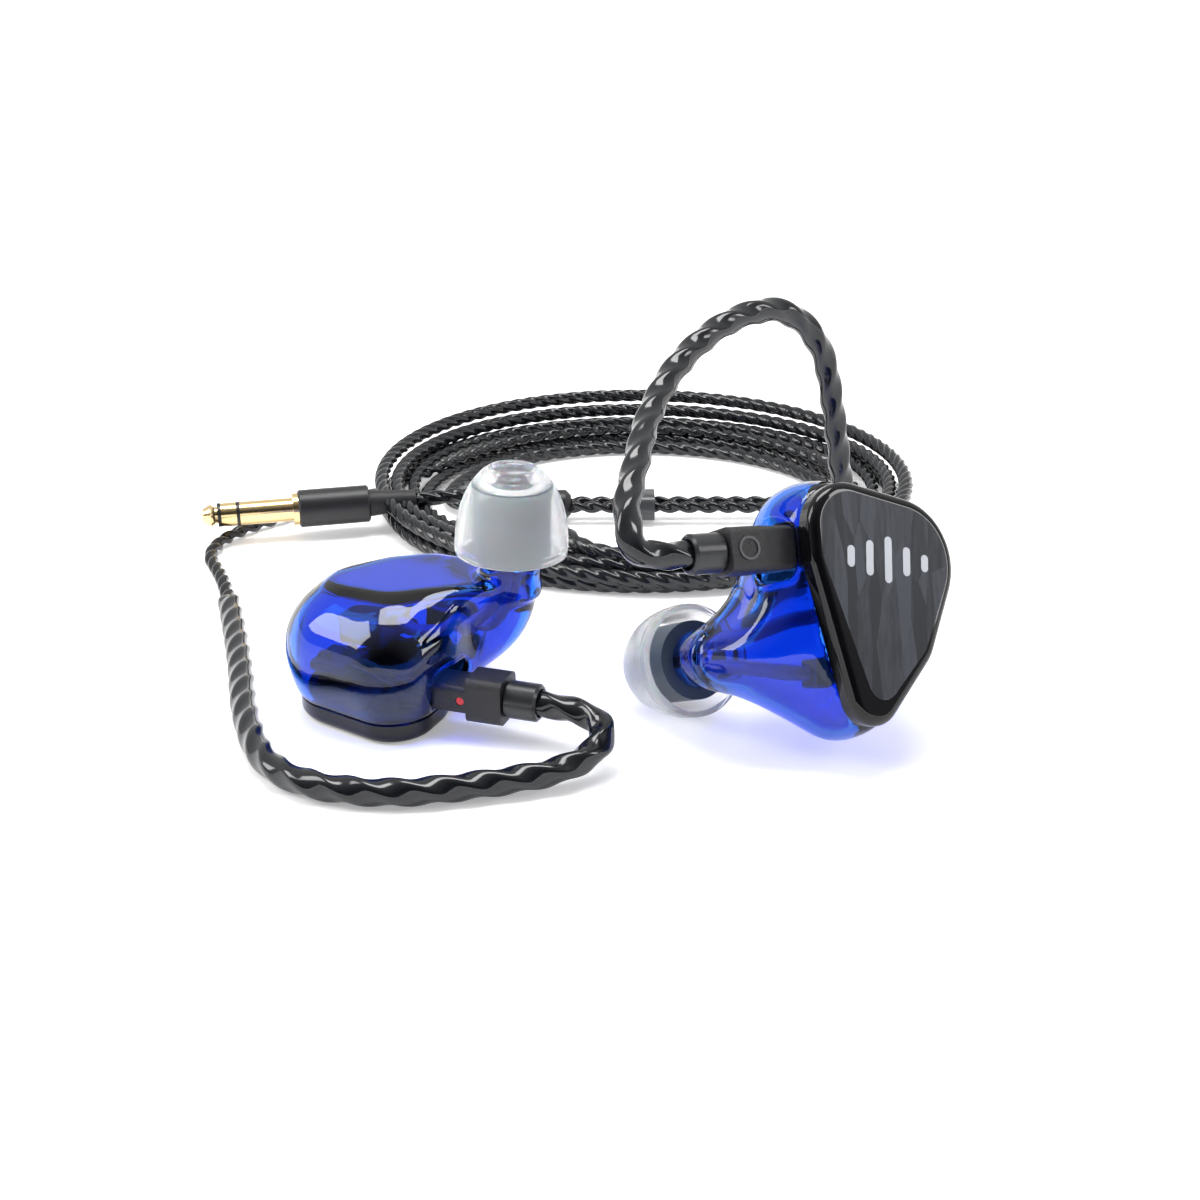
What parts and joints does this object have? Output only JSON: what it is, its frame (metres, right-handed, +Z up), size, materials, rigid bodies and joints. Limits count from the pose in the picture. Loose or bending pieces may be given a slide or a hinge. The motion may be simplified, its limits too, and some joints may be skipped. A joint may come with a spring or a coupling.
{
  "type": "in-ear monitors",
  "caption": "Pair of hollow translucent in-ear monitors with drivers, silicone ear tips and a detachable twisted cable, formed ear guides, chin slider and a 3.5 mm plug.",
  "frame": {"origin": "on the surface both monitors rest on, under the middle of the common box of the two monitors without their cable", "axes": "+Z up from the surface; +X from the right-ear monitor to the left-ear monitor; +Y away from the viewer, towards the coiled cable"},
  "size_m": [0.1107, 0.1444, 0.0423],
  "materials": {
    "shell_blue": "clear gloss",
    "plate_black": "gloss",
    "inlay_grey": "satin",
    "emblem_silver": "satin",
    "driver_case": "satin",
    "sound_tube": "clear satin",
    "damper_metal": "satin",
    "connector_black": "fine grain",
    "contact_gold": "polished gold plating",
    "board_dark": "satin",
    "wire_enamel": "enamelled",
    "tip_silicone": "frosted translucent",
    "tip_core": "matte",
    "connector_collar": "satin",
    "mark_red": "gloss",
    "mark_black": "matte",
    "guide_sleeve": "glossy shrink tube",
    "cable_cover": "glossy",
    "fitting_black": "satin",
    "slider_grey": "satin",
    "insulator_black": "satin",
    "relief_black": "matte"
  },
  "bodies": {
    "cable": {"right_connector_housing": "connector_black", "right_connector_collar": "connector_collar", "right_connector_pins": "contact_gold", "right_channel_mark": "mark_red", "right_ear_guide": "guide_sleeve", "right_branch_cable": "cable_cover", "right_neck_cable": "cable_cover", "left_connector_housing": "connector_black", "left_connector_collar": "connector_collar", "left_connector_pins": "contact_gold", "left_channel_mark": "mark_black", "left_ear_guide": "guide_sleeve", "left_branch_cable": "cable_cover", "left_neck_cable": "cable_cover", "y_split": "fitting_black", "main_cable_lead": "cable_cover", "jack_tip": "contact_gold", "jack_tip_insulator": "insulator_black", "jack_ring": "contact_gold", "jack_ring_insulator": "insulator_black", "jack_sleeve": "contact_gold", "plug_barrel": "fitting_black", "plug_strain_relief": "relief_black", "cable_coil": "cable_cover"},
    "chin_slider": {"chin_slider": "slider_grey"},
    "right_monitor": {"right_shell": "shell_blue", "right_faceplate": "plate_black", "right_inlay": "inlay_grey", "right_emblem": "emblem_silver", "right_low_driver": "driver_case", "right_high_driver": "driver_case", "right_low_tube": "sound_tube", "right_high_tube": "sound_tube", "right_damper": "damper_metal", "right_socket": "connector_black", "right_socket_contacts": "contact_gold", "right_crossover_board": "board_dark", "right_wires": "wire_enamel"},
    "right_tip": {"right_tip_dome": "tip_silicone", "right_tip_core": "tip_core"},
    "left_monitor": {"left_shell": "shell_blue", "left_faceplate": "plate_black", "left_inlay": "inlay_grey", "left_emblem": "emblem_silver", "left_low_driver": "driver_case", "left_high_driver": "driver_case", "left_low_tube": "sound_tube", "left_high_tube": "sound_tube", "left_damper": "damper_metal", "left_socket": "connector_black", "left_socket_contacts": "contact_gold", "left_crossover_board": "board_dark", "left_wires": "wire_enamel"},
    "left_tip": {"left_tip_dome": "tip_silicone", "left_tip_core": "tip_core"}
  },
  "joints": [
    {"name": "right_unplug", "type": "slide", "parent": "cable", "child": "right_monitor", "axis": [-0.95, 0.3123, 0], "range_m": [0, 0.005]},
    {"name": "left_unplug", "type": "slide", "parent": "cable", "child": "left_monitor", "axis": [0.8914, 0.4414, -0.1029], "range_m": [0, 0.005]},
    {"name": "right_tip_pull", "type": "slide", "parent": "right_monitor", "child": "right_tip", "axis": [0.0391, -0.0194, 0.999], "range_m": [0, 0.008]},
    {"name": "left_tip_pull", "type": "slide", "parent": "left_monitor", "child": "left_tip", "axis": [-0.4768, 0.7634, -0.4358], "range_m": [0, 0.008]},
    {"name": "chin_slide", "type": "slide", "parent": "cable", "child": "chin_slider", "axis": [1, 0, 0], "range_m": [0, 0.007]}
  ]
}
